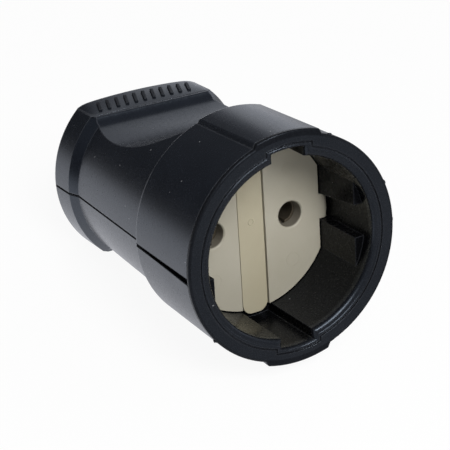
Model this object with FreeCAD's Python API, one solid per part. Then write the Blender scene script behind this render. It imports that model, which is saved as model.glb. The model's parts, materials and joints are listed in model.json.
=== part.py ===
import FreeCAD, Part
import math
import os

from FreeCAD import Vector

# An inline socket connector: two black housing halves around a socket body with a round
# mouth, and a contact block deep in the mouth with two holes for the pins of a plug.
#
# The object's own frame, used for every size below, in millimetres: the mouth is at y = 0
# and faces -Y, the body runs back along +Y, X lies along the line of the two pin holes, and
# Z points to the upper side. At the end every piece is laid down the way the connector
# comes to rest: on its lower panel in front and on the flat of its rear collar.

# Depths from the mouth back, as the pieces stand one behind the other
recess_depth = 16.6
plate_thickness = 2.4
sleeve_end = recess_depth + plate_thickness
flange_thickness = 3.0
block_flange_end = sleeve_end + flange_thickness
block_depth = 14.0
block_end = block_flange_end + block_depth
rear_room = 30.3
length = block_end + rear_room

# Recess for the plug
bore_r = 19.3
ledge_depth = 3.4
flat_inset = 2.45
flat_x = bore_r - flat_inset
side_channel_half = 2.95
side_channel_top = 4.3
keyway_half = 3.8
keyway_height = 2.1
keyway_r = bore_r + keyway_height
keyway_floor = 1.6
keyway_end = recess_depth + keyway_floor

# Sleeve of the socket body behind the ring
sleeve_wall = 2.6
sleeve_r = bore_r + sleeve_wall
keyway_wall = 1.8
keyway_wall_half = keyway_half + keyway_wall
keyway_wall_r = keyway_r + keyway_wall

# Mouth ring and its lip
ring_width = 2.3
mouth_r = sleeve_r + ring_width
ring_thickness = 0.9
ring_edge = 0.35
lip_round = 1.1
lip_width = 1.9
groove_r = bore_r + lip_width
groove_width = 0.35
groove_depth = 0.4
keyway_lip_side = 1.3
keyway_groove_half = keyway_half + keyway_lip_side
keyway_lip = 0.85
keyway_groove_r = keyway_r + keyway_lip

# Pins
pin_pitch = 19.0
pin_hole_r = 2.85
pin_hole_chamfer = 0.25
pin_hole_depth = 3.0

# Housing, outside
drum_overlap = 5.0
front_end = sleeve_end + drum_overlap
drum_taper = 0.6
shoulder_r = mouth_r - drum_taper
shoulder_round = 0.9
shoulder_step = 1.1
body_front_r = shoulder_r - shoulder_step
half_drop = 0.8
body_taper = 1.45
body_rear_r = body_front_r - body_taper
collar_length = 7.6
collar_front = length - collar_length
sweep_length = 2.8
body_rear = collar_front - sweep_length
collar_flare = 0.95
collar_r = body_rear_r + collar_flare
end_round = 0.8
facet_inset = 5.9
facet_z = collar_r - facet_inset
facet_length = 8.7
facet_front = length - facet_length
facet_edge = 0.45
panel_rise = 0.9
panel_r = mouth_r + panel_rise
panel_taper = 0.65
panel_rear_r = panel_r - panel_taper
panel_setback = 1.2
panel_end = front_end - panel_setback
panel_half = 7.8
panel_top_half = 7.25
panel_edge = 0.4
scoop_r = 38.5
scoop_lead = 18.4
scoop_y = length - scoop_lead
scoop_inset = 7.5
scoop_z = body_rear_r - scoop_inset
scoop_run = 6.9
scoop_end = scoop_y + scoop_run

# Housing, joint between the two halves
front_split = -0.3
rear_split = -0.15
gap_at_mouth = 1.35
gap_at_shoulder = 0.4
rear_gap = 0.25

# Housing, inside
wall = 2.1
grip_lean = 0.3
rear_wall = 2.5
part_clearance = 0.2
rib_thickness = 1.6
rib_x = 8.0
rib_length = 11.0
rib_front = front_end
rib_rear = rib_front + rib_length

# Contact block
block_flange_r = sleeve_r - part_clearance
block_side_inset = 4.5
block_half_x = block_flange_r - block_side_inset
block_rib_room = 2.25
block_half_z = scoop_z - block_rib_room
block_corner = 4.0
tab_round = 1.2
bar_slot_half = 3.3
bar_width = 6.0
bar_thickness = 1.5
bar_reach = 0.65
bar_half_length = bore_r + bar_reach
bar_shift = -0.17
bar_end_round = 2.2
chamber_r = 3.9
terminal_depth = 6.0
chamber_end = block_end - terminal_depth
terminal_room_x = 3.8
terminal_room_z = 4.0
screw_access_r = 2.4

# Contacts and terminals
contact_bore_r = 2.45
contact_wall = 0.75
contact_setback = 3.2
contact_start = recess_depth + contact_setback
contact_back_wall = 1.2
slit_width = 0.8
slit_length = 7.2
slit_end = contact_start + slit_length
spring_setback = 1.2
spring_start = contact_start + spring_setback
spring_width = 2.5
spring_thickness = 0.5
spring_gap = 2.0
thread_clearance = 0.05
terminal_half = 3.5
wire_hole_r = 1.7
wire_hole_depth = 4.5
terminal_y = block_end - terminal_depth / 2
terminal_screw_r = 1.4
terminal_screw_tip = 0.8
terminal_head_r = 2.2
terminal_head_z = 4.1
terminal_head_height = 1.7

# Cover of the contact block
cover_thickness = 2.2
cover_inset = 0.3
cover_wire_r = 2.4
block_screw_r = 1.25
block_screw_length = 7.0
block_screw_tip = block_end - block_screw_length
block_head_r = 2.5
block_head_height = 1.7

# Housing screws, driven from below
screw_x = 12.6
screw_lead = 18.8
screw_y = length - screw_lead
screw_r = 1.3
screw_hole_r = 1.7
screw_cover = 5.55
screw_tip_z = scoop_z - screw_cover
screw_boss_r = 3.5
screw_head_r = 2.8
screw_head_height = 1.9
screw_sink = 0.35
screw_seat_z = screw_head_height + screw_sink - scoop_z

# Cable clamp and inlet
cable_r = 4.2
clamp_lead = 14.6
clamp_front = length - clamp_lead
clamp_width = 4.6
clamp_half_x = 12.4
clamp_seat_z = 1.5
clamp_ear = 2.5
clamp_arch = 2.0
clamp_screw_x = 9.4
clamp_screw_r = 1.05
clamp_post_r = 2.9
clamp_screw_depth = 7.0
clamp_head_r = 2.1
clamp_head_height = 1.6
cradle_half = 6.0
cradle_room = 0.1
cradle_top = -1.0
inlet_half = 6.0
inlet_corner = 2.0
grommet_flange_r = 8.2
grommet_flange = 1.9
grommet_proud = 0.5

# Screw drives
drive_width = 0.7
drive_depth = 0.8

# A length that clears the whole object, for cutting tools
reach = 40.0

ALONG_Y = Vector(0, 1, 0)
ALONG_Z = Vector(0, 0, 1)
SIDES = {"left": -1, "right": 1}


def rod_y(radius, y0, y1, x=0.0, z=0.0):
    """A round bar along Y."""
    return Part.makeCylinder(radius, y1 - y0, Vector(x, y0, z), ALONG_Y)


def rod_z(radius, z0, z1, x, y):
    """A round bar along Z."""
    return Part.makeCylinder(radius, z1 - z0, Vector(x, y, z0), ALONG_Z)


def block(x0, x1, y0, y1, z0, z1):
    """A box between two corners."""
    return Part.makeBox(x1 - x0, y1 - y0, z1 - z0, Vector(x0, y0, z0))


def fused(*solids):
    """The pieces joined into one, without seams."""
    whole = solids[0].multiFuse(list(solids[1:]))
    return whole.removeSplitter()


def side_profile(points):
    """A prism across the whole width from an outline of (y, z) points."""
    corners = [Vector(-reach, y, z) for y, z in points]
    face = Part.Face(Part.makePolygon(corners + corners[:1]))
    return face.extrude(Vector(2 * reach, 0, 0))


def turned(edges):
    """A body turned about the Y axis from the edges of its half section."""
    face = Part.Face(Part.Wire(edges))
    return face.revolve(Vector(0, 0, 0), ALONG_Y, 360)


def line(p, q):
    """A straight edge of a half section, from (r, y) to (r, y)."""
    return Part.makeLine(Vector(p[0], p[1], 0), Vector(q[0], q[1], 0))


def arc(p, middle, q):
    """An arc of a half section through three (r, y) points."""
    return Part.Arc(*(Vector(r, y, 0) for r, y in (p, middle, q))).toShape()


def quarter(centre, radius, start):
    """An edge rounding: a quarter arc of a half section that starts at an angle in degrees."""
    angles = [math.radians(start + step) for step in (0, 45, 90)]
    return [(centre[0] + radius * math.cos(a), centre[1] + radius * math.sin(a)) for a in angles]


def keyed_disc(radius, half, outer, y0, y1):
    """A disc with a keyway bulge at the top and the bottom."""
    key = block(-half, half, y0, y1, -reach, reach)
    key = key.common(rod_y(outer, y0, y1))
    return fused(rod_y(radius, y0, y1), key)


def recess_below_ledge(y0, y1, gap=0.0):
    """The narrower recess behind the ledge: side flats, with a channel in each flat."""
    disc = rod_y(bore_r - gap, y0, y1)
    between = block(-flat_x + gap, flat_x - gap, y0, y1, -reach, reach)
    half = side_channel_half - gap
    channels = side_profile([
        (ledge_depth, -half), (sleeve_end, -half), (sleeve_end, half),
        (recess_depth, half), (ledge_depth, side_channel_top),
    ])
    return disc.common(between.fuse(channels))


def panel_outline(y, crown_r):
    """A raised panel's cross-section at y, with its crown at a radius."""
    foot = math.sqrt(mouth_r ** 2 - panel_half ** 2) - (mouth_r - shoulder_r) * y / front_end
    top = math.sqrt(crown_r ** 2 - panel_top_half ** 2)
    left = [Vector(-panel_half, y, bore_r), Vector(-panel_half, y, foot), Vector(-panel_top_half, y, top)]
    right = [Vector(-p.x, y, p.z) for p in reversed(left)]
    crown = Part.Arc(left[-1], Vector(0, y, crown_r), right[0]).toShape()
    return Part.Wire([
        Part.makeLine(left[0], left[1]),
        Part.makeLine(left[1], left[2]),
        crown,
        Part.makeLine(right[0], right[1]),
        Part.makeLine(right[1], right[2]),
        Part.makeLine(right[2], left[0]),
    ])


def panels(y0, y1):
    """The stretch of the two raised panels from y0 to y1, above and below."""
    outlines = [panel_outline(0, panel_r), panel_outline(panel_end, panel_rear_r)]
    upper = Part.makeLoft(outlines, True, True)
    crests = [e for e in upper.Edges if is_panel_crest(e)]
    upper = upper.makeFillet(panel_edge, crests)
    upper = upper.common(block(-reach, reach, y0, y1, 0, reach))
    return [upper, upper.rotated(Vector(0, 0, 0), ALONG_Y, 180)]


def is_panel_crest(edge):
    """Whether an edge of the panel runs along it beside its crown, or behind the crown."""
    box = edge.BoundBox
    beside = box.XLength < 0.01 and abs(abs(box.XMin) - panel_top_half) < 0.01
    behind = box.YMin > panel_end - 0.01 and box.XLength > 2 * panel_top_half - 0.01
    return beside or (behind and box.ZMax > panel_rear_r - 0.01)


def drive_slot(x, y, z, down):
    """A crossed recess in a screw head whose top is at z."""
    z0, z1 = (z - 0.01, z + drive_depth) if down else (z - drive_depth, z + 0.01)
    arm = 1.5
    bar = block(x - arm, x + arm, y - drive_width / 2, y + drive_width / 2, z0, z1)
    cross = block(x - drive_width / 2, x + drive_width / 2, y - arm, y + arm, z0, z1)
    return bar.fuse(cross)


def screw_down(radius, tip, seat, head_r, head_height, x, y):
    """A screw that points down, its head on a seat, with a crossed drive."""
    top = seat + head_height
    screw = fused(rod_z(radius, tip, seat, x, y), rod_z(head_r, seat, top, x, y))
    return screw.cut(drive_slot(x, y, top, down=False))


def housing_body():
    """The outside of both halves as one solid: front drum, panels, rear body and collar."""
    turn = quarter((shoulder_r - shoulder_round, front_end - shoulder_round), shoulder_round, 0)
    front = turned([
        line((0, ring_thickness), (mouth_r, ring_thickness)),
        line((mouth_r, ring_thickness), turn[0]),
        arc(*turn),
        line(turn[2], (0, front_end)),
        line((0, front_end), (0, ring_thickness)),
    ])
    body = Part.makeCone(body_front_r, body_rear_r, body_rear - front_end,
                         Vector(0, front_end, -half_drop), ALONG_Y)
    sweep = Part.makeLoft([ring_wire(body_rear_r, body_rear, -half_drop),
                           ring_wire(collar_r, collar_front, 0)], True, True)
    end = quarter((collar_r - end_round, length - end_round), end_round, 0)
    collar = turned([
        line((0, collar_front), (collar_r, collar_front)),
        line((collar_r, collar_front), end[0]),
        arc(*end),
        line(end[2], (0, length)),
        line((0, length), (0, collar_front)),
    ])
    rear = both_halves(fused(body, sweep, collar)).cut(grip_cuts(0.0))
    return fused(front, rear, *panels(ring_thickness, panel_end))


def ring_wire(radius, y, z):
    """A circle across the body, with its centre at height z."""
    return Part.Wire(Part.makeCircle(radius, Vector(0, y, z), ALONG_Y))


def both_halves(upper):
    """What lies above the joint of a body, and the same turned over below it."""
    upper = upper.common(block(-reach, reach, 0, length + 1, 0, reach))
    return fused(upper, upper.rotated(Vector(0, 0, 0), ALONG_Y, 180))


def scoop_height(y):
    """How high the floor of the upper thumb scoop is at y."""
    return scoop_z + scoop_r - math.sqrt(scoop_r ** 2 - (y - scoop_y) ** 2)


def grip_cuts(depth):
    """What the thumb scoops and the collar's flats take away, set deeper by depth."""
    start = Vector(-reach, front_end, scoop_height(front_end))
    lowest = Vector(-reach, scoop_y, scoop_z)
    foot = Vector(-reach, scoop_end, scoop_height(scoop_end))
    edge = Vector(-reach, facet_front, facet_z)
    slope = math.asin((scoop_end - scoop_y) / scoop_r)
    chord = edge - foot
    half_turn = math.atan2(chord.z, chord.y) - slope
    blend_r = chord.Length / (2 * math.sin(half_turn))
    middle = foot + Vector(0, blend_r * (math.sin(slope + half_turn) - math.sin(slope)),
                           blend_r * (math.cos(slope) - math.cos(slope + half_turn)))
    outline = [
        Part.Arc(start, lowest, foot).toShape(),
        Part.Arc(foot, middle, edge).toShape(),
    ]
    corners = [edge, Vector(-reach, length + reach, facet_z), Vector(-reach, length + reach, reach),
               Vector(-reach, front_end, reach), start]
    outline += [Part.makeLine(p, q) for p, q in zip(corners, corners[1:])]
    upper = Part.Face(Part.Wire(outline)).extrude(Vector(2 * reach, 0, 0))
    upper = upper.makeFillet(facet_edge, [e for e in upper.Edges if is_facet_edge(e)])
    upper.translate(Vector(0, -grip_lean * depth, -depth))
    return Part.makeCompound([upper, upper.rotated(Vector(0, 0, 0), ALONG_Y, 180)])


def is_facet_edge(edge):
    """Whether an edge of the cut is the front edge of the collar's flat."""
    middle = edge.BoundBox.Center
    return abs(middle.y - facet_front) < 0.01 and abs(middle.z - facet_z) < 0.01


def chamber(depth):
    """The space behind the contact block's flange, set inward from the outside by depth."""
    end_y = length - rear_wall - depth + wall
    slope = (body_front_r - body_rear_r) / (body_rear - front_end)
    start_r = body_front_r - depth
    end_r = start_r - slope * (end_y - front_end)
    room = turned([
        line((0, ring_thickness), (start_r, ring_thickness)),
        line((start_r, ring_thickness), (start_r, front_end)),
        line((start_r, front_end), (end_r, end_y)),
        line((end_r, end_y), (0, end_y)),
        line((0, end_y), (0, ring_thickness)),
    ])
    room.translate(Vector(0, 0, -half_drop))
    return both_halves(room).cut(grip_cuts(depth))


def housing_cavity():
    """The hollow of both halves: the seat of the socket body in front, the chamber behind."""
    seat = sleeve_r + part_clearance
    key_half = keyway_wall_half + part_clearance
    key_r = keyway_wall_r + part_clearance
    key_end = sleeve_end + part_clearance
    front = fused(rod_y(seat, ring_thickness, block_flange_end),
                  keyed_disc(seat, key_half, key_r, ring_thickness, key_end))
    return fused(front, chamber(wall))


def inner_ribs(sign):
    """The ribs that hold the contact block, in the upper (+1) or lower (-1) half."""
    inner = block_half_z + part_clearance
    low, high = sorted((sign * inner, sign * reach))
    return [block(side * rib_x - rib_thickness / 2, side * rib_x + rib_thickness / 2,
                  rib_front, rib_rear, low, high) for side in SIDES.values()]


def upper_region():
    """The space of the upper half, above the stepped joint."""
    return side_profile([
        (-1, front_split), (front_end, front_split), (front_end, rear_split),
        (length + 1, rear_split), (length + 1, reach), (-1, reach),
    ])


def lower_region():
    """The space of the lower half; its edge falls away towards the mouth."""
    return side_profile([
        (ring_thickness, front_split - gap_at_mouth), (front_end, front_split - gap_at_shoulder),
        (front_end, rear_split - rear_gap), (length + 1, rear_split - rear_gap), (length + 1, -reach),
        (ring_thickness, -reach),
    ])


def upper_shell():
    outside = housing_body()
    bosses = [rod_z(screw_boss_r, rear_split, reach, s * screw_x, screw_y) for s in SIDES.values()]
    inside = fused(*(bosses + inner_ribs(1))).common(chamber(wall / 2))
    shell = outside.cut(housing_cavity()).common(upper_region())
    shell = fused(shell, inside)
    pilots = [rod_z(screw_r + thread_clearance, rear_split, screw_tip_z + 1, s * screw_x, screw_y)
              for s in SIDES.values()]
    return shell.cut(pilots + [inlet_plug(0, 1)])


def inlet_plug(gap, proud):
    """The square with round corners that fills the inlet in the rear wall; it can't turn there."""
    half = inlet_half - gap
    plug = block(-half, half, length - rear_wall - proud, length + proud, -half, half)
    return plug.makeFillet(inlet_corner - gap, [e for e in plug.Edges if runs_along_y(e)])


def lower_shell():
    outside = housing_body()
    lugs = []
    for s in SIDES.values():
        lugs.append(rod_z(screw_boss_r, -reach, rear_split, s * screw_x, screw_y))
        lugs.append(rod_z(clamp_post_r, -reach, clamp_seat_z, s * clamp_screw_x, clamp_middle()))
    cradle = block(-cradle_half, cradle_half, clamp_front, clamp_front + clamp_width, -reach, cradle_top)
    cradle = cradle.cut(cable_trough())
    inside = fused(*(lugs + [cradle] + inner_ribs(-1))).common(chamber(wall / 2))
    shell = outside.cut(housing_cavity()).common(lower_region())
    shell = fused(shell, inside)
    holes = [inlet_plug(0, 1)]
    for s in SIDES.values():
        holes.append(rod_z(screw_hole_r, screw_seat_z - 1, rear_split, s * screw_x, screw_y))
        holes.append(rod_z(screw_head_r + part_clearance, -reach, screw_seat_z, s * screw_x, screw_y))
        holes.append(rod_z(clamp_screw_r + thread_clearance, clamp_seat_z - clamp_screw_depth - 1,
                           clamp_seat_z, s * clamp_screw_x, clamp_middle()))
    return shell.cut(holes)


def cable_trough():
    """The V in the cradle that the cable lies in: a square bar along Y that stands on its edge."""
    half = cable_r + cradle_room
    trough = block(-half, half, clamp_front, clamp_front + clamp_width, -half, half)
    return trough.rotated(Vector(0, 0, 0), ALONG_Y, 45)


def clamp_middle():
    """Where the clamp's screws stand along the body."""
    return clamp_front + clamp_width / 2


def socket_body():
    """Mouth ring, lip and recess sleeve in one moulding."""
    ring = fused(rod_y(mouth_r, 0, ring_thickness), *panels(0, ring_thickness))
    rim = [e for e in ring.Edges if is_outer_rim(e)]
    ring = ring.makeFillet(ring_edge, rim)
    sleeve = keyed_disc(sleeve_r, keyway_wall_half, keyway_wall_r, 0, sleeve_end)
    body = fused(ring, sleeve)
    mouth = keyed_disc(bore_r, keyway_half, keyway_r, -1, ledge_depth)
    deep = recess_below_ledge(ledge_depth, sleeve_end)
    keys = block(-keyway_half, keyway_half, -1, keyway_end, -reach, reach)
    keys = keys.common(rod_y(keyway_r, -1, keyway_end))
    body = body.cut(fused(mouth, deep, keys))
    lip = [e for e in body.Edges if is_mouth_edge(e)]
    body = body.makeFillet(lip_round, lip)
    return body.cut(lip_groove())


def is_outer_rim(edge):
    """Whether an edge of the ring lies on its front face."""
    return edge.BoundBox.YMax < 0.01


def is_mouth_edge(edge):
    """Whether an edge lies on the front face, round the recess."""
    box = edge.BoundBox
    reach_out = max(abs(box.XMin), abs(box.XMax), abs(box.ZMin), abs(box.ZMax))
    return box.YMax < 0.01 and reach_out < keyway_r + 0.01


def lip_groove():
    """The narrow groove between the lip and the ring face; it steps out round the keyways."""
    outer = keyed_disc(groove_r + groove_width, keyway_groove_half + groove_width,
                       keyway_groove_r + groove_width, -1, groove_depth)
    inner = keyed_disc(groove_r, keyway_groove_half, keyway_groove_r, -1, groove_depth)
    return outer.cut(inner)


def contact_block():
    """Face plate with side tabs, flange between sleeve and housing, and the contact chambers."""
    face = recess_below_ledge(recess_depth, sleeve_end, part_clearance)
    face = face.makeFillet(tab_round, [e for e in face.Edges if is_tab_rim(e)])
    flange = rod_y(block_flange_r, sleeve_end, block_flange_end)
    rear = block(-block_half_x, block_half_x, sleeve_end, block_end, -block_half_z, block_half_z)
    rear = rear.makeFillet(block_corner, [e for e in rear.Edges if runs_along_y(e)])
    whole = fused(face, flange, rear)
    return whole.cut([bar_slot()] + block_holes())


def is_tab_rim(edge):
    """Whether an edge is the front rim of a side tab."""
    box = edge.BoundBox
    on_front = box.YMax < recess_depth + 0.01
    return on_front and min(abs(box.XMin), abs(box.XMax)) > flat_x + 1


def runs_along_y(edge):
    """Whether an edge is straight and runs along Y."""
    box = edge.BoundBox
    return box.XLength < 0.01 and box.ZLength < 0.01


def bar_slot():
    """The slot down the face that takes the bar."""
    return block(-bar_slot_half, bar_slot_half, recess_depth - 1, recess_depth + bar_thickness,
                 -reach, reach)


def block_holes():
    """Pin holes, contact chambers, terminal rooms and screw holes of the contact block."""
    holes = [rod_y(block_screw_r + thread_clearance, block_screw_tip - 1, block_end + 1)]
    entry_end = recess_depth + pin_hole_depth
    for s in SIDES.values():
        x = s * pin_pitch / 2
        holes.append(rod_y(pin_hole_r, recess_depth - 1, entry_end, x))
        holes.append(Part.makeCone(pin_hole_r + pin_hole_chamfer, pin_hole_r, pin_hole_chamfer,
                                   Vector(x, recess_depth, 0), ALONG_Y))
        holes.append(rod_y(chamber_r, entry_end, chamber_end, x))
        holes.append(block(x - terminal_room_x, x + terminal_room_x, chamber_end, block_end + 1,
                           -terminal_room_z, terminal_room_z))
        holes.append(rod_z(screw_access_r, 0, block_half_z + 1, x, terminal_y))
    return holes


def centre_bar():
    """The strip in the slot; its rounded ends reach into the keyways."""
    half = bar_width / 2
    bar = block(bar_shift - half, bar_shift + half, recess_depth, recess_depth + bar_thickness,
                -bar_half_length, bar_half_length)
    return bar.makeFillet(bar_end_round, [e for e in bar.Edges if runs_along_y(e)])


def block_cover():
    """The plate behind the contact block, with a hole for each wire."""
    rear = block_end + cover_thickness
    half_x = block_half_x - cover_inset
    half_z = block_half_z - cover_inset
    plate = block(-half_x, half_x, block_end, rear, -half_z, half_z)
    plate = plate.makeFillet(block_corner - cover_inset, [e for e in plate.Edges if runs_along_y(e)])
    holes = [rod_y(cover_wire_r, block_end, rear, s * pin_pitch / 2) for s in SIDES.values()]
    holes.append(rod_y(block_screw_r + part_clearance, block_end, rear))
    return plate.cut(holes)


def block_screw():
    """The screw that holds the cover to the block; its head has one slot."""
    seat = block_end + cover_thickness
    top = seat + block_head_height
    screw = fused(rod_y(block_screw_r, block_screw_tip, seat), rod_y(block_head_r, seat, top))
    slot = block(-block_head_r, block_head_r, top - drive_depth, top + 1, -drive_width / 2, drive_width / 2)
    return screw.cut(slot)


def contact_sleeve(s):
    """A sleeve, slit above and below, that grips a pin."""
    x = s * pin_pitch / 2
    outer = contact_bore_r + contact_wall
    sleeve = rod_y(outer, contact_start, chamber_end, x)
    bore = rod_y(contact_bore_r, contact_start - 1, chamber_end - contact_back_wall, x)
    slit = block(x - slit_width / 2, x + slit_width / 2, contact_start - 1, slit_end, -reach, reach)
    return sleeve.cut([bore, slit])


def contact_spring(s):
    """An open steel ring that squeezes a sleeve."""
    x = s * pin_pitch / 2
    inner = contact_bore_r + contact_wall + thread_clearance
    end = spring_start + spring_width
    ring = rod_y(inner + spring_thickness, spring_start, end, x)
    opening = block(x - spring_gap / 2, x + spring_gap / 2, spring_start, end, 0, reach)
    return ring.cut([rod_y(inner, spring_start, end, x), opening])


def terminal(s):
    """A brass block with a hole for the wire from behind and one for the screw from above."""
    x = s * pin_pitch / 2
    body = block(x - terminal_half, x + terminal_half, chamber_end, block_end,
                 -terminal_half, terminal_half)
    wire = rod_y(wire_hole_r, block_end - wire_hole_depth, block_end, x)
    thread = rod_z(terminal_screw_r + thread_clearance, 0, terminal_half, x, terminal_y)
    return body.cut([wire, thread])


def terminal_screw(s):
    x = s * pin_pitch / 2
    top = terminal_head_z + terminal_head_height
    screw = fused(rod_z(terminal_screw_r, terminal_screw_tip, terminal_head_z, x, terminal_y),
                  rod_z(terminal_head_r, terminal_head_z, top, x, terminal_y))
    slot = block(x - terminal_head_r, x + terminal_head_r, terminal_y - drive_width / 2,
                 terminal_y + drive_width / 2, top - drive_depth, top)
    return screw.cut(slot)


def cable_clamp():
    """A saddle with two ears over the cable."""
    rear = clamp_front + clamp_width
    ears = block(-clamp_half_x, clamp_half_x, clamp_front, rear, clamp_seat_z, clamp_seat_z + clamp_ear)
    ears = ears.makeFillet(clamp_width / 2 - 0.1, [e for e in ears.Edges if runs_along_z(e)])
    arch = rod_y(cable_r + clamp_arch, clamp_front, rear)
    arch = arch.common(block(-reach, reach, clamp_front, rear, clamp_seat_z, reach))
    saddle = fused(ears, arch).cut(rod_y(cable_r, clamp_front, rear))
    holes = [rod_z(clamp_screw_r + part_clearance, clamp_seat_z, clamp_seat_z + clamp_ear,
                   s * clamp_screw_x, clamp_middle()) for s in SIDES.values()]
    return saddle.cut(holes)


def runs_along_z(edge):
    """Whether an edge is straight and runs along Z."""
    box = edge.BoundBox
    return box.XLength < 0.01 and box.YLength < 0.01


def clamp_screw(s):
    seat = clamp_seat_z + clamp_ear
    return screw_down(clamp_screw_r, clamp_seat_z - clamp_screw_depth, seat, clamp_head_r,
                      clamp_head_height, s * clamp_screw_x, clamp_middle())


def housing_screw(s):
    """A screw that points up from its recess in the lower half."""
    x = s * screw_x
    head = screw_seat_z - screw_head_height
    screw = fused(rod_z(screw_r, screw_seat_z, screw_tip_z, x, screw_y),
                  rod_z(screw_head_r, head, screw_seat_z, x, screw_y))
    return screw.cut(drive_slot(x, screw_y, head, down=True))


def inlet_grommet():
    """The rubber bush round the cable inlet, with its collar inside the rear wall."""
    inner_face = length - rear_wall
    bush = inlet_plug(thread_clearance, grommet_proud)
    collar = rod_y(grommet_flange_r, inner_face - grommet_flange, inner_face)
    hole = rod_y(cable_r, inner_face - grommet_flange, length + grommet_proud)
    return fused(bush, collar).cut(hole)


def rest_placement():
    """The turn and shift that lay the connector on a floor at z = 0, centred over it."""
    heel_y, heel_z = panel_end - panel_edge, panel_rear_r - panel_edge
    run, rise = length - heel_y, heel_z - facet_z
    pitch = math.atan2(rise, run) + math.asin(panel_edge / math.hypot(run, rise))
    c, s = math.cos(pitch), math.sin(pitch)
    floor = -length * s - facet_z * c
    front = ring_edge * c - (panel_r - ring_edge) * s - ring_edge
    back = length * c + facet_z * s
    shift = Vector(0, -(front + back) / 2, -floor)
    return FreeCAD.Placement(shift, FreeCAD.Rotation(Vector(1, 0, 0), -math.degrees(pitch)))


def pieces():
    """Every piece by name, in the object's own frame."""
    made = {
        "upper_shell": upper_shell(),
        "lower_shell": lower_shell(),
        "socket_body": socket_body(),
        "contact_block": contact_block(),
        "centre_bar": centre_bar(),
        "block_cover": block_cover(),
        "block_screw": block_screw(),
        "cable_clamp": cable_clamp(),
        "inlet_grommet": inlet_grommet(),
    }
    for side, s in SIDES.items():
        made["contact_sleeve_" + side] = contact_sleeve(s)
        made["contact_spring_" + side] = contact_spring(s)
        made["terminal_" + side] = terminal(s)
        made["terminal_screw_" + side] = terminal_screw(s)
        made["clamp_screw_" + side] = clamp_screw(s)
        made["housing_screw_" + side] = housing_screw(s)
    return made


def main():
    os.makedirs("parts", exist_ok=True)
    laid = rest_placement()
    for name, shape in pieces().items():
        if shape.ShapeType == "Compound" and len(shape.Solids) == 1:
            shape = shape.Solids[0]
        shape.transformShape(laid.toMatrix())
        shape.exportStep("parts/" + name + ".step")
        print(name, len(shape.Solids), round(shape.Volume, 1), shape.isValid())


main()
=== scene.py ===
import json
import math
import random

import bmesh
import bpy
from mathutils import Matrix, Vector


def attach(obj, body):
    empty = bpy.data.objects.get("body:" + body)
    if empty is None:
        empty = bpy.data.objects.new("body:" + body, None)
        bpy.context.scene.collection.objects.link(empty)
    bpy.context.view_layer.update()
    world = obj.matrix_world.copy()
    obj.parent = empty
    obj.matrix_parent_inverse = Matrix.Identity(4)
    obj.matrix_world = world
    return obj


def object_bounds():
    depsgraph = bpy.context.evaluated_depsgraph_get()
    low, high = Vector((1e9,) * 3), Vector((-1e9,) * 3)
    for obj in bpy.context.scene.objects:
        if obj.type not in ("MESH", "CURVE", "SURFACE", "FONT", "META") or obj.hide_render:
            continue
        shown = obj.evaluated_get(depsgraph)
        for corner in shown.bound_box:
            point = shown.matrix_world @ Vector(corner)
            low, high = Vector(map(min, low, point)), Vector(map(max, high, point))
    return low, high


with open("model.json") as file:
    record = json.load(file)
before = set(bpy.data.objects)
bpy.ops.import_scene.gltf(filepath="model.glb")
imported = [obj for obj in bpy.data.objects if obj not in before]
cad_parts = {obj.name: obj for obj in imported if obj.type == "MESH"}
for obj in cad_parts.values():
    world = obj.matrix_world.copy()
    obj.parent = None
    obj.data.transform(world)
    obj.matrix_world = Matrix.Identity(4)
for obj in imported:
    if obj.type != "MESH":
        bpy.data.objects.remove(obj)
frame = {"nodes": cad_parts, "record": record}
cad_low, cad_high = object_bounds()

MM = 0.001
SEED = 11
WHITE = (1.0, 1.0, 1.0)

# Sizes of the connector in its own frame, in millimetres: the mouth is at y = 0 and faces -Y,
# the body runs back along +Y, X lies along the line of the two pin holes and Z points up.
RECESS_DEPTH = 16.6
PIN_MOUNT_DEPTH = 18.2
MOUTH_R = 24.2
FACET_Z = 16.1
LENGTH = 66.3
COLLAR_R = 22.0
END_ROUND = 0.8
BAR_X = -0.17
PIN_X = 9.5
PIN_HOLE_R = 2.85
GROMMET_PROUD = 0.5
CABLE_R = 4.2

# The arch on the collar's upper flat: where it starts, its height in the middle of the rear edge,
# the share of it that the arch loses towards its sides before they drop, how sharply they drop,
# how soon it climbs behind its front edge, how deep it is sunk and how its rear edge is rounded
CROWN_FRONT = 58.0
CROWN_RISE = 1.31
CROWN_DIP = 0.55
CROWN_ENDS = 14
CROWN_BACK = 1.7
CROWN_SINK = 0.03
CROWN_EDGE = 0.25

# How finely the arch is drawn, and how near to each other its points are made one
CROWN_ROWS = 24
CROWN_COLUMNS = 48
EDGE_ANGLES = (30, 60, 90)
WELD = 0.001

# Grip ridges on the arch
RIDGE_COUNT = 11
RIDGE_PITCH = 2.25
RIDGE_LENGTH = 4.0
RIDGE_WIDTH = 0.8
RIDGE_HEIGHT = 0.36
RIDGE_ROUND = 0.09
RIDGE_LEAN = 18.0
RIDGE_Y = 61.9

# The shares of a raised ring's width at which its flat top starts and ends
RING_TOP = (0.3, 0.7)

# Small marks of the mould on the face plate and the bar, let into them by a hair
MARK_Y = RECESS_DEPTH + 0.01
EJECTOR_R = 1.5
EJECTOR_LINE = 0.09
EJECTOR_HEIGHT = 0.04
EJECTOR_PLACES = [(9.6, 10.3), (9.6, -10.3), (-9.6, 10.3), (-9.6, -10.3)]
GATE_R = 0.44
GATE_LINE = 0.36
GATE_HEIGHT = 0.1
GATE_PLACE = (BAR_X + 0.06, 0.71)

# Scraps of flash on the mouth ring: their angles, size and place, and how far they are drawn out
# and dented
NUB_ANGLES = [21.6, 0.6, 66.0, 218.0]
NUB_SIZE = 0.42
NUB_PROUD = 0.02
NUB_Y = 0.62
NUB_STRETCH = (0.75, 0.8, 1.3)
NUB_DENT = 0.18

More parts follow.
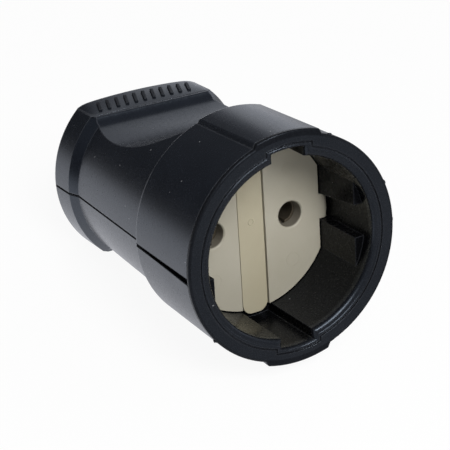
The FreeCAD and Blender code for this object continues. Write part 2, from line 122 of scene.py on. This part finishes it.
# The rings on the rubber bush
RIB_RADII = (CABLE_R + 0.55, CABLE_R + 1.2)
RIB_WIDTH = 0.3
RIB_HEIGHT = 0.12
RIB_SINK = 0.05

# The bead along the lip: its radius, the half width and the radius of its step round a keyway, the
# (inward, rise) points of its profile and the degrees between points along it
BEAD_OUTLINE = (21.18, 5.08, 22.23)
BEAD_PROFILE = [(0.0, -0.05), (0.02, 0.05), (0.12, 0.12), (0.28, 0.15),
                (0.45, 0.11), (0.58, 0.03), (0.62, -0.05)]
BEAD_STEP = 3.0

# Brightness of the room round the object, as its gloss shows it. Each turn is a direction, and the
# cosines at which the change of brightness towards it starts and ends.
WALL_LEFT = 0.08
WALL_RIGHT = 1.0
WALL_FRONT = 0.3
CEILING = 0.2
RIGHT_TURN = ((0.9, -0.43, 0.0), -0.20, 0.25)
FRONT_TURN = ((0.2, -0.98, 0.0), 0.2, 0.8)
CEILING_TURN = ((0.0, 0.0, 1.0), 0.17, 0.72)
ROOM_TINT = (0.86, 0.90, 1.0)

# The table: its brightness in that gloss in front of the object, beside it, behind it on the left,
# and the distances in metres, along two directions, over which it changes
TABLE_SIZE = 1.6
TABLE_NEAR = 0.36
TABLE_MIDDLE = 0.87
TABLE_FAR = 1.1
TABLE_AWAY = (-0.8, 0.6, 0.0)
MIDDLE_TURN = (-0.03, 0.006)
FAR_TURN = (0.01, 0.035)
TABLE_LEFT = (-0.9, 0.43, 0.0)
LEFT_TURN = (0.085, 0.22)
TABLE_TINT = (0.93, 0.94, 1.0)
TABLE_GLOW = 0.9
TABLE_WHITE = 1.03

# Lamps: the direction that each stands in, its size and its power
LAMP_DISTANCE = 0.8
KEY_LAMP = ((-0.10, -0.66, 0.72), 0.36, 4.0)
RIM_LAMP = ((0.62, 0.68, 0.40), 0.5, 0.24)
GLINT_LAMP = ((0.32, -0.66, 0.72), 0.12, 2.6)

# The black plastic: the cool tint of its gloss, the colours of the painted highlights along its edges,
# pale on the shells and darker elsewhere, and the dust on it
SHEEN_TINT = (0.72, 0.84, 1.0)
PALE_EDGE_HIGHLIGHT = (0.055, 0.058, 0.066)
DIM_EDGE_HIGHLIGHT = (0.024, 0.025, 0.029)
DUST_SCALE = 300.0
DUST_R = 0.17
DUST_GREY = (0.25, 0.25, 0.26)

# How a surface's plain and eased directions agree, as a cosine, where the painted edge highlight is
# full and where it ends
EDGE_HIGHLIGHT_TURN = (0.982, 0.9993)

# The recess: the colour of the painted shade down in it, its gloss there, the depths over which it
# turns dark and dull, and the dull outer rim
RECESS_SHADE = (0.0034, 0.0035, 0.0041)
RECESS_GLOSS = 0.15
RECESS_SHADE_TURN = (0.9, 2.2)
RIM_TURN = (MOUTH_R - 0.6, MOUTH_R - 0.4)

# Painted shade along the joint of the shells, where the gap between them lies in shadow: its colour,
# where the drum behind the ring starts and ends, the heights of the shade's lower edge at those two
# places and behind the drum, and its upper edge
JOINT_SHADE = (0.0022, 0.0023, 0.0028)
RING_BACK = 0.9
DRUM_END = 24.0
SHADE_LOW_DRUM = (-1.42, -0.92)
SHADE_LOW_REAR = -0.68
SHADE_STEP = 0.05
SHADE_TOP = -0.12

# Painted shade on the walls of the pin holes: its colour, how far past a hole's edge it reaches and
# the depths over which it starts
HOLE_SHADE = (0.26, 0.235, 0.19)
HOLE_MARGIN = 0.15
HOLE_TURN = (RECESS_DEPTH + 0.15, RECESS_DEPTH + 0.7)

# Camera, as the photograph was taken, in millimetres and degrees; its clip distances are in metres
CAMERA_AIM = Vector((0.041, -4.814, 19.313))
CAMERA_DISTANCE = 377.34
CAMERA_AZIMUTH = -31.586
CAMERA_ELEVATION = 31.382
CAMERA_ROLL = 2.384
CAMERA_LENS = 141.0
CAMERA_CLIP = (0.02, 20.0)
SENSOR = 36.0


# The connector's own frame

def mount(name):
    """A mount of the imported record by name."""
    return next(m for m in frame["record"]["mounts"] if m["name"] == name)


def own_frame():
    """The matrix from the connector's own millimetres to the row's metres."""
    left, right = mount("pin_hole_left"), mount("pin_hole_right")
    along = -Vector(left["axis"])
    across = (Vector(right["pos_m"]) - Vector(left["pos_m"])).normalized()
    up = across.cross(along)
    pins = (Vector(left["pos_m"]) + Vector(right["pos_m"])) / 2
    origin = pins - along * PIN_MOUNT_DEPTH * MM
    turn = Matrix((across, along, up)).transposed().to_4x4()
    return Matrix.Translation(origin) @ turn @ Matrix.Scale(MM, 4)


OWN = own_frame()


# Node helpers

class Nodes:
    """A node tree with short ways to add and join nodes."""

    def __init__(self, tree, place):
        self.tree = tree
        self.place = self.add("ShaderNodeTexCoord").outputs[place]

    def add(self, kind, **settings):
        node = self.tree.nodes.new(kind)
        for key, value in settings.items():
            setattr(node, key, value)
        return node

    def link(self, output, target):
        self.tree.links.new(output, target)

    def feed(self, target, value):
        """Gives an input a number, a colour or another node's output."""
        if isinstance(value, float):
            target.default_value = value
        elif isinstance(value, tuple):
            target.default_value = (*value, 1.0)
        else:
            self.link(value, target)

    def maths(self, operation, first, second=0.0):
        """A sum or the like of two values."""
        node = self.add("ShaderNodeMath", operation=operation)
        self.feed(node.inputs[0], first)
        self.feed(node.inputs[1], second)
        return node.outputs["Value"]

    def mix(self, factor, first, second, kind="FLOAT"):
        """A value between two."""
        node = self.add("ShaderNodeMix", data_type=kind)
        self.feed(node.inputs["A"], first)
        self.feed(node.inputs["B"], second)
        self.link(factor, node.inputs["Factor"])
        return node.outputs["Result"]

    def blend(self, factor, first, second):
        """A colour between two."""
        return self.mix(factor, first, second, "RGBA")

    def spread(self, value, low, high, start=0.3, end=0.7, easing="LINEAR"):
        """Goes from low to high as a value goes from start to end; the usual ends suit a noise."""
        node = self.add("ShaderNodeMapRange", interpolation_type=easing)
        node.inputs["From Min"].default_value = start
        node.inputs["From Max"].default_value = end
        node.inputs["To Min"].default_value = low
        node.inputs["To Max"].default_value = high
        self.link(value, node.inputs["Value"])
        return node.outputs["Result"]

    def along(self, direction):
        """How far a point lies along a direction."""
        node = self.add("ShaderNodeVectorMath", operation="DOT_PRODUCT")
        node.inputs[1].default_value = direction
        self.link(self.place, node.inputs[0])
        return node.outputs["Value"]

    def toward(self, turn, low, high):
        """Goes from low to high as a look nears a direction."""
        direction, start, end = turn
        near = self.along(Vector(direction).normalized())
        return self.spread(near, low, high, start, end, easing="SMOOTHSTEP")


class Surface(Nodes):
    """The nodes of a new material."""

    def __init__(self, name):
        self.material = bpy.data.materials.new(name)
        self.material.use_nodes = True
        super().__init__(self.material.node_tree, "Object")
        self.shader = self.tree.nodes["Principled BSDF"]

    def colour(self, output):
        self.link(output, self.shader.inputs["Base Color"])

    def roughness(self, output):
        self.link(output, self.shader.inputs["Roughness"])

    def specular(self, output):
        self.link(output, self.shader.inputs["Specular IOR Level"])

    def own(self, axis):
        """The place along one of the connector's own axes, in its millimetres."""
        x, y, z, shift = OWN.inverted()[axis]
        return self.maths("ADD", self.along((x, y, z)), shift)

    def beside(self, x):
        """How far a point is, across the body, from two lines along it at x and at -x."""
        across = self.add("ShaderNodeCombineXYZ")
        self.link(self.maths("SUBTRACT", self.maths("ABSOLUTE", self.own(0)), x), across.inputs["X"])
        self.link(self.own(2), across.inputs["Z"])
        length = self.add("ShaderNodeVectorMath", operation="LENGTH")
        self.link(across.outputs["Vector"], length.inputs[0])
        return length.outputs["Value"]

    def noise(self, scale, detail=2.0, roughness=0.5):
        node = self.add("ShaderNodeTexNoise")
        node.inputs["Scale"].default_value = scale
        node.inputs["Detail"].default_value = detail
        node.inputs["Roughness"].default_value = roughness
        self.link(self.place, node.inputs["Vector"])
        return node.outputs["Fac"]

    def clouds(self, first, second, scale, detail, roughness=0.5):
        """A colour that drifts between two."""
        return self.blend(self.spread(self.noise(scale, detail, roughness), 0.0, 1.0), first, second)

    def specks(self, scale, radius, share):
        """Small round spots in some of the cells of a grid of about 1 / scale."""
        cells = self.add("ShaderNodeTexVoronoi")
        cells.inputs["Scale"].default_value = scale
        self.link(self.place, cells.inputs["Vector"])
        split = self.add("ShaderNodeSeparateColor")
        self.link(cells.outputs["Color"], split.inputs["Color"])
        spot = self.maths("LESS_THAN", cells.outputs["Distance"], radius * scale)
        return self.maths("MULTIPLY", spot, self.maths("LESS_THAN", split.outputs["Red"], share))

    def softened(self, radius, samples):
        """The surface's direction with its edges rounded off by a radius."""
        node = self.add("ShaderNodeBevel", samples=samples)
        node.inputs["Radius"].default_value = radius
        return node.outputs["Normal"]

    def edge_highlights(self, width):
        """A mask for painted highlights on the sharp edges, up to a width from each, broken up along
        their length.
        """
        plain = self.add("ShaderNodeNewGeometry")
        alike = self.add("ShaderNodeVectorMath", operation="DOT_PRODUCT")
        self.link(self.softened(width, samples=8), alike.inputs[0])
        self.link(plain.outputs["Normal"], alike.inputs[1])
        edges = self.spread(alike.outputs["Value"], 1.0, 0.0, *EDGE_HIGHLIGHT_TURN)
        return self.maths("MULTIPLY", edges, self.spread(self.noise(160.0, detail=3.0), 0.55, 1.0))

    def bump(self, height, strength, depth, edge):
        """Sets the shader's normal from a height, with the edges eased by a radius."""
        node = self.add("ShaderNodeBump")
        node.inputs["Strength"].default_value = strength
        node.inputs["Distance"].default_value = depth
        self.link(height, node.inputs["Height"])
        self.link(self.softened(edge, samples=6), node.inputs["Normal"])
        self.link(node.outputs["Normal"], self.shader.inputs["Normal"])


# Materials

def black_plastic(name, dark, light, rough, ior, relief, edge):
    """Moulded black plastic with a fine spark-eroded grain: its nodes and its colour so far."""
    n = Surface(name)
    grain = n.noise(2600.0, roughness=0.6)
    base = n.clouds(dark, light, scale=90.0, detail=4.0)
    flecks = n.spread(grain, 0.0, 0.25, start=0.5, end=0.8)
    base = n.blend(flecks, base, tuple(1.8 * c for c in light))
    n.shader.inputs["Specular Tint"].default_value = (*SHEEN_TINT, 1.0)
    n.shader.inputs["IOR"].default_value = ior
    n.roughness(n.spread(n.noise(1400.0, detail=3.0), rough - 0.03, rough + 0.04))
    n.bump(grain, relief, depth=0.12 * MM, edge=edge * MM)
    return n, base


def edged_and_dusty(n, base, edge, highlight, dusty):
    """Colours a material with painted highlights along its edges and a share of it dusty, and returns
    it.
    """
    # Painted highlights along the sharp edges
    base = n.blend(n.edge_highlights(edge * MM), base, highlight)
    n.colour(n.blend(n.specks(DUST_SCALE, DUST_R * MM, dusty), base, DUST_GREY))
    return n.material


def joint_shade_mask(n):
    """A mask of the painted shade along the joint of the shells."""
    back, height = n.own(1), n.own(2)
    drum = n.spread(back, *SHADE_LOW_DRUM, RING_BACK, DRUM_END)
    rise = n.spread(back, 0.0, SHADE_LOW_REAR - SHADE_LOW_DRUM[1], DRUM_END, DRUM_END + SHADE_STEP)
    above = n.maths("GREATER_THAN", height, n.maths("ADD", drum, rise))
    return n.maths("MULTIPLY", above, n.maths("LESS_THAN", height, SHADE_TOP))


def housing_black():
    """The shells' plastic, with painted shade along both edges of their joint, where the gap lies in
    shadow.
    """
    n, base = black_plastic("housing_black", (0.0060, 0.0072, 0.0105), (0.0095, 0.0112, 0.0160),
                            rough=0.24, ior=1.58, relief=0.035, edge=0.25)
    # Painted shade along the joint: darker and without gloss where the gap between the shells lies in
    # shadow
    shade = joint_shade_mask(n)
    n.specular(n.spread(shade, 0.5, 0.0, start=0.0, end=1.0))
    return edged_and_dusty(n, n.blend(shade, base, JOINT_SHADE), edge=0.4, highlight=PALE_EDGE_HIGHLIGHT, dusty=0.8)


def ridge_black():
    """The shells' plastic on the grip ridges, a little darker and duller."""
    n, base = black_plastic("ridge_black", (0.0050, 0.0058, 0.0080), (0.0080, 0.0090, 0.0120),
                            rough=0.5, ior=1.5, relief=0.05, edge=0.1)
    n.shader.inputs["Specular IOR Level"].default_value = 0.25
    return edged_and_dusty(n, base, edge=0.1, highlight=DIM_EDGE_HIGHLIGHT, dusty=0.2)


def socket_black():
    """The socket body's plastic; it is duller down in the recess, and painted shade darkens it there.
    """
    n, base = black_plastic("socket_black", (0.0062, 0.0068, 0.0088), (0.0095, 0.0104, 0.0130),
                            rough=0.26, ior=1.46, relief=0.03, edge=0.2)
    # Painted shade: the colour turns darker with depth into the recess
    shaded = n.spread(n.own(1), 0.0, 1.0, *RECESS_SHADE_TURN)
    dull = n.maths("MAXIMUM", shaded, n.spread(n.beside(0.0), 0.0, 1.0, *RIM_TURN))
    n.specular(n.spread(dull, 0.5, RECESS_GLOSS, start=0.0, end=1.0))
    return edged_and_dusty(n, n.blend(shaded, base, RECESS_SHADE), edge=0.3, highlight=DIM_EDGE_HIGHLIGHT, dusty=0.3)


def ivory_plastic(name, pale, warm, rough):
    """Smooth thermoset plastic with flow marks and a few darker grains: its nodes and its colour."""
    n = Surface(name)
    base = n.clouds(pale, warm, scale=70.0, detail=5.0, roughness=0.6)
    grains = n.specks(scale=420.0, radius=0.07 * MM, share=0.07)
    base = n.blend(grains, base, tuple(0.72 * c for c in warm))
    n.roughness(n.spread(n.noise(600.0, detail=3.0), rough - 0.05, rough + 0.08))
    n.bump(n.noise(1500.0, detail=3.0), 0.10, depth=0.06 * MM, edge=0.1 * MM)
    return n, base


def block_beige():
    """The contact block's plastic, with painted shade on the walls of its pin holes."""
    n, base = ivory_plastic("block_beige", (0.585, 0.55, 0.45), (0.54, 0.505, 0.40), rough=0.42)
    # Painted shade darkens the walls of the pin holes deeper than the face plate
    shaded_hole = n.maths("MULTIPLY", n.maths("LESS_THAN", n.beside(PIN_X), PIN_HOLE_R + HOLE_MARGIN),
                     n.spread(n.own(1), 0.0, 1.0, *HOLE_TURN))
    n.colour(n.blend(shaded_hole, base, HOLE_SHADE))
    return n.material


def bar_beige():
    """The yellower plastic of the centre bar."""
    n, base = ivory_plastic("bar_beige", (0.60, 0.55, 0.40), (0.565, 0.505, 0.355), rough=0.40)
    n.colour(base)
    return n.material


def clamp_grey():
    """Grey plastic of the cable clamp."""
    n = Surface("clamp_grey")
    n.colour(n.clouds((0.16, 0.16, 0.165), (0.22, 0.22, 0.22), scale=300.0, detail=4.0))
    n.roughness(n.spread(n.noise(900.0), 0.5, 0.62))
    n.bump(n.noise(2200.0), 0.2, depth=0.1 * MM, edge=0.2 * MM)
    return n.material


def rubber_black():
    """Dull rubber of the cable inlet."""
    n = Surface("rubber_black")
    n.colour(n.clouds((0.011, 0.011, 0.011), (0.02, 0.02, 0.021), scale=400.0, detail=4.0))
    n.roughness(n.spread(n.noise(1500.0), 0.68, 0.82))
    n.bump(n.noise(3200.0, detail=3.0), 0.35, depth=0.1 * MM, edge=0.2 * MM)
    return n.material


def metal(name, bright, dull, rough):
    """Turned or stamped metal with fine tool marks and dull stains."""
    n = Surface(name)
    n.shader.inputs["Metallic"].default_value = 1.0
    n.colour(n.clouds(bright, dull, scale=500.0, detail=4.0))
    n.roughness(n.spread(n.noise(1800.0, detail=3.0), rough - 0.07, rough + 0.1))
    n.bump(n.noise(4200.0), 0.12, depth=0.05 * MM, edge=0.1 * MM)
    return n.material


MATERIALS = {
    "housing_black": housing_black(),
    "socket_black": socket_black(),
    "block_beige": block_beige(),
    "bar_beige": bar_beige(),
    "clamp_grey": clamp_grey(),
    "rubber_black": rubber_black(),
    "brass": metal("brass", (0.28, 0.24, 0.18), (0.21, 0.18, 0.135), rough=0.65),
    "screw_steel": metal("screw_steel", (0.60, 0.60, 0.61), (0.42, 0.42, 0.43), rough=0.34),
}


def dress_nodes():
    """Gives every CAD node the material of its slot in the record."""
    for part in frame["record"]["subparts"]:
        mesh = frame["nodes"][part["node"]].data
        mesh.materials.clear()
        mesh.materials.append(MATERIALS[part["material_slot"]])


# New pieces

def finish_piece(bm, name, slot, material=None):
    """Turns a mesh built in the connector's own millimetres into a piece that rides on the body."""
    bmesh.ops.recalc_face_normals(bm, faces=bm.faces)
    mesh = bpy.data.meshes.new(name)
    bm.to_mesh(mesh)
    bm.free()
    mesh.transform(OWN)
    mesh.materials.append(material or MATERIALS[slot])
    piece = bpy.data.objects.new(name, mesh)
    bpy.context.collection.objects.link(piece)
    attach(piece, "root")


def pairs(items, closed):
    """Each item with the one after it; a closed list runs round to its start."""
    return zip(items, items[1:] + (items[:1] if closed else []))


def skin(bm, rows, closed_rows=False, closed_columns=False, smooth=False):
    """Adds the faces between neighbouring rows of points."""
    for row, after in pairs(rows, closed_rows):
        for (a, d), (b, c) in pairs(list(zip(row, after)), closed_columns):
            bm.faces.new((a, b, c, d)).smooth = smooth


def flat_half(y):
    """Half the width of the collar's flat at y."""
    past = max(0.0, y - LENGTH + END_ROUND)
    radius = COLLAR_R - END_ROUND + math.sqrt(END_ROUND ** 2 - past ** 2)
    return math.sqrt(radius ** 2 - FACET_Z ** 2)


def crown_rise(x, y):
    """How far the arch stands above the flat; it ends at the flat's front edge and its sides."""
    back = (LENGTH - y) / (LENGTH - CROWN_FRONT)
    aside = abs(x) / flat_half(y)
    across = 1 - CROWN_DIP * aside ** 2 - (1 - CROWN_DIP) * aside ** CROWN_ENDS
    return CROWN_RISE * across * (1 - back ** CROWN_BACK)


def crown_row(y, low):
    """Points across the arch at y, closer together towards its sides."""
    shares = [-math.cos(math.pi * k / CROWN_COLUMNS) for k in range(CROWN_COLUMNS + 1)]
    return [(s * flat_half(y), y, low + crown_rise(s * flat_half(y), y)) for s in shares]


def flat_crown():
    """The arched surface of the collar's upper flat, with a rounded rear edge and a flat underside."""
    bm = bmesh.new()
    low = FACET_Z - CROWN_SINK
    depth = LENGTH - CROWN_EDGE - CROWN_FRONT
    places = [crown_row(CROWN_FRONT + depth * j / CROWN_ROWS, low) for j in range(CROWN_ROWS + 1)]
    rear = places[-1]
    for a in map(math.radians, EDGE_ANGLES):
        back, down = math.sin(a), 1 - math.cos(a)
        places.append([(x, y + CROWN_EDGE * back, z - min(CROWN_EDGE, z - low) * down)
                       for x, y, z in rear])
    places.append([(x, LENGTH, low) for x, y, z in rear])
    rows = [[bm.verts.new(place) for place in row] for row in places]
    skin(bm, rows[:-1], smooth=True)
    skin(bm, rows[-2:])
    right = [row[-1] for row in rows[1:-1]]
    left = [row[0] for row in rows[-2:0:-1]]
    bm.faces.new(rows[0] + right + rows[-1][::-1] + left)
    bmesh.ops.remove_doubles(bm, verts=bm.verts, dist=WELD)
    finish_piece(bm, "flat_crown", "housing_black")


def add_bar(bm, centre, turn):
    """A ridge with rounded edges, standing on a face that looks along +Z."""
    made = bmesh.ops.create_cube(bm, size=1.0)["verts"]
    bmesh.ops.scale(bm, vec=(RIDGE_WIDTH, RIDGE_LENGTH, RIDGE_HEIGHT * 2), verts=made)
    edges = list({e for v in made for e in v.link_edges})
    rounded = bmesh.ops.bevel(bm, geom=edges, offset=RIDGE_ROUND, segments=2, affect="EDGES")
    verts = list({v for f in rounded["faces"] for v in f.verts} | {v for v in made if v.is_valid})
    bmesh.ops.rotate(bm, cent=(0, 0, 0), matrix=Matrix.Rotation(turn, 3, "Z"), verts=verts)
    bmesh.ops.translate(bm, vec=centre, verts=verts)


def grip_ridges():
    """A row of short leaning ridges on the arch of the collar's upper flat."""
    bm = bmesh.new()
    for k in range(RIDGE_COUNT):
        x = (k - (RIDGE_COUNT - 1) / 2) * RIDGE_PITCH
        add_bar(bm, (x, RIDGE_Y, FACET_Z), math.radians(-RIDGE_LEAN))
    for v in bm.verts:
        v.co.z += crown_rise(v.co.x, v.co.y)
    finish_piece(bm, "grip_ridges", "housing_black", ridge_black())


def add_ring(bm, centre, radius, width, height, facing=-1, sink=0.0, segments=48):
    """A thin raised ring on a face that looks along -Y, or along +Y where facing is 1."""
    x, y, z = centre
    top_start, top_end = RING_TOP
    turns = [2 * math.pi * k / segments for k in range(segments)]
    rows = []
    for share, rise in ((0.0, -sink), (top_start, height), (top_end, height), (1.0, -sink)):
        r = radius + width * share
        rows.append([bm.verts.new((x + r * math.cos(a), y + facing * rise, z + r * math.sin(a)))
                     for a in turns])
    skin(bm, rows, closed_rows=True, closed_columns=True)


def ejector_marks():
    """Faint witness rings that the mould's pins left on the face plate."""
    bm = bmesh.new()
    for x, z in EJECTOR_PLACES:
        add_ring(bm, (x, MARK_Y, z), EJECTOR_R, EJECTOR_LINE, EJECTOR_HEIGHT)
    finish_piece(bm, "ejector_marks", "block_beige")


def gate_mark():
    """The small trimmed sprue on the bar."""
    bm = bmesh.new()
    x, z = GATE_PLACE
    add_ring(bm, (x, MARK_Y, z), GATE_R, GATE_LINE, GATE_HEIGHT, segments=24)
    finish_piece(bm, "gate_mark", "bar_beige")


def grommet_ribs():
    """Low rings round the outer end of the cable inlet."""
    bm = bmesh.new()
    for radius in RIB_RADII:
        add_ring(bm, (0.0, LENGTH + GROMMET_PROUD, 0.0), radius, RIB_WIDTH, RIB_HEIGHT,
                 facing=1, sink=RIB_SINK, segments=64)
    finish_piece(bm, "grommet_ribs", "rubber_black")


def arc(r, start, end):
    """Points (x, z) round the middle, by angles in degrees from +Z."""
    count = max(2, round(abs(end - start) / BEAD_STEP))
    angles = [math.radians(start + (end - start) * k / count) for k in range(count + 1)]
    return [(r * math.sin(a), r * math.cos(a)) for a in angles]


def keyed_outline(radius, half, outer):
    """Points (x, z) of a circle that steps out to a wider one round the two keyways."""
    near = math.degrees(math.asin(half / radius))
    far = math.degrees(math.asin(half / outer))
    return (arc(outer, -far, far) + arc(radius, near, 180 - near)
            + arc(outer, 180 - far, 180 + far) + arc(radius, 180 + near, 360 - near))


def sweep_on_face(bm, path, profile):
    """Sweeps (inward, rise) points of a profile along a closed path on the mouth's face."""
    rows = []
    for k, (x, z) in enumerate(path):
        before, after = path[k - 1], path[(k + 1) % len(path)]
        sides = [Vector((z - before[1], before[0] - x)).normalized(),
                 Vector((after[1] - z, x - after[0])).normalized()]
        inward = (sides[0] + sides[1]) / (1 + sides[0].dot(sides[1]))
        rows.append([bm.verts.new((x + inward[0] * i, -rise, z + inward[1] * i))
                     for i, rise in profile])
    skin(bm, rows, closed_rows=True, smooth=True)


def lip_bead():
    """The fine rounded bead along the outer edge of the lip, beside its groove."""
    bm = bmesh.new()
    sweep_on_face(bm, keyed_outline(*BEAD_OUTLINE), BEAD_PROFILE)
    finish_piece(bm, "lip_bead", "socket_black")


def edge_nubs():
    """Scraps of flash on the outer edge of the mouth ring."""
    bm = bmesh.new()
    rng = random.Random(SEED)
    for angle in NUB_ANGLES:
        a = math.radians(angle)
        out = Vector((math.cos(a), 0, math.sin(a)))
        side = Vector((-math.sin(a), 0, math.cos(a)))
        made = bmesh.ops.create_icosphere(bm, subdivisions=2, radius=NUB_SIZE)["verts"]
        for v in made:
            lump = 1.0 + rng.uniform(-NUB_DENT, NUB_DENT)
            x, y, z = (c * s * lump for c, s in zip(v.co, NUB_STRETCH))
            v.co = out * (MOUTH_R + NUB_PROUD + x) + Vector((0, NUB_Y + y, 0)) + side * z
    finish_piece(bm, "edge_nubs", "socket_black")


# Camera, lights and surroundings

def make_camera():
    """Puts the camera where the photograph was taken from."""
    data = bpy.data.cameras.new("camera")
    data.lens = CAMERA_LENS
    data.sensor_width = SENSOR
    data.clip_start, data.clip_end = CAMERA_CLIP
    camera = bpy.data.objects.new("camera", data)
    a, e = math.radians(CAMERA_AZIMUTH), math.radians(CAMERA_ELEVATION)
    back = Vector((math.sin(a) * math.cos(e), -math.cos(a) * math.cos(e), math.sin(e)))
    right = Vector((0, 0, 1)).cross(back).normalized()
    turn = Matrix((right, back.cross(right), back)).transposed()
    turn = turn @ Matrix.Rotation(math.radians(CAMERA_ROLL), 3, "Z")
    place = (CAMERA_AIM + back * CAMERA_DISTANCE) * MM
    camera.matrix_world = Matrix.Translation(place) @ turn.to_4x4()
    bpy.context.collection.objects.link(camera)
    bpy.context.scene.camera = camera


def softbox(name, direction, size, power, diffuse=True):
    """A square lamp that looks at the middle of the object; without diffuse only gloss shows it."""
    data = bpy.data.lights.new(name, "AREA")
    data.shape = "RECTANGLE"
    data.size, data.size_y = size, size
    data.energy = power
    lamp = bpy.data.objects.new(name, data)
    way = Vector(direction).normalized()
    lamp.location = (cad_low + cad_high) / 2 + way * LAMP_DISTANCE
    lamp.rotation_euler = way.to_track_quat("Z", "Y").to_euler()
    lamp.visible_diffuse = diffuse
    bpy.context.collection.objects.link(lamp)


def make_world():
    """White for the camera; for the object a room that is dark on the left, dim in front and above."""
    world = bpy.data.worlds.new("room")
    bpy.context.scene.world = world
    world.use_nodes = True
    n = Nodes(world.node_tree, "Generated")
    rays = n.add("ShaderNodeLightPath").outputs
    walls = n.toward(RIGHT_TURN, WALL_LEFT, WALL_RIGHT)
    walls = n.mix(n.toward(FRONT_TURN, 0.0, 1.0), walls, WALL_FRONT)
    room = n.mix(n.toward(CEILING_TURN, 0.0, 1.0), walls, CEILING)
    background = n.tree.nodes["Background"]
    n.link(n.mix(rays["Is Camera Ray"], room, 1.0), background.inputs["Strength"])
    n.link(n.blend(rays["Is Glossy Ray"], WHITE, ROOM_TINT), background.inputs["Color"])


def mirrored_table(n):
    """How bright the object's gloss shows each place on the table."""
    away = n.along(TABLE_AWAY)
    beside = n.maths("ADD", n.spread(away, TABLE_NEAR, TABLE_MIDDLE, *MIDDLE_TURN),
                     n.spread(away, 0.0, TABLE_FAR - TABLE_MIDDLE, *FAR_TURN))
    return n.mix(n.spread(n.along(TABLE_LEFT), 0.0, 1.0, *LEFT_TURN), beside, WALL_LEFT)


def table_white():
    """Matt white that mostly glows for the camera and for gloss, and so keeps only a faint shadow."""
    n = Surface("table")
    n.colour(n.blend(n.noise(12.0), (0.93, 0.93, 0.93), (0.95, 0.95, 0.95)))
    n.roughness(n.spread(n.noise(30.0), 0.7, 0.8))
    rays = n.add("ShaderNodeLightPath").outputs
    camera = rays["Is Camera Ray"]
    glow = n.add("ShaderNodeEmission")
    n.link(n.mix(camera, mirrored_table(n), TABLE_WHITE), glow.inputs["Strength"])
    n.link(n.blend(camera, TABLE_TINT, WHITE), glow.inputs["Color"])
    glowing = n.maths("MULTIPLY", n.maths("MAXIMUM", rays["Is Glossy Ray"], camera), TABLE_GLOW)
    both = n.add("ShaderNodeMixShader")
    n.link(glowing, both.inputs["Fac"])
    n.link(n.shader.outputs["BSDF"], both.inputs[1])
    n.link(glow.outputs["Emission"], both.inputs[2])
    n.link(both.outputs["Shader"], n.tree.nodes["Material Output"].inputs["Surface"])
    return n.material


def make_floor():
    """A wide white table top that fades into the white beyond."""
    bm = bmesh.new()
    bmesh.ops.create_grid(bm, x_segments=1, y_segments=1, size=TABLE_SIZE)
    mesh = bpy.data.meshes.new("table")
    bm.to_mesh(mesh)
    bm.free()
    mesh.materials.append(table_white())
    floor = bpy.data.objects.new("table", mesh)
    bpy.context.collection.objects.link(floor)


dress_nodes()
flat_crown()
grip_ridges()
ejector_marks()
gate_mark()
lip_bead()
edge_nubs()
grommet_ribs()

make_camera()
make_world()
make_floor()
softbox("key", *KEY_LAMP)
softbox("rim", *RIM_LAMP)
softbox("glint", *GLINT_LAMP, diffuse=False)

bpy.context.scene.view_settings.view_transform = "Standard"
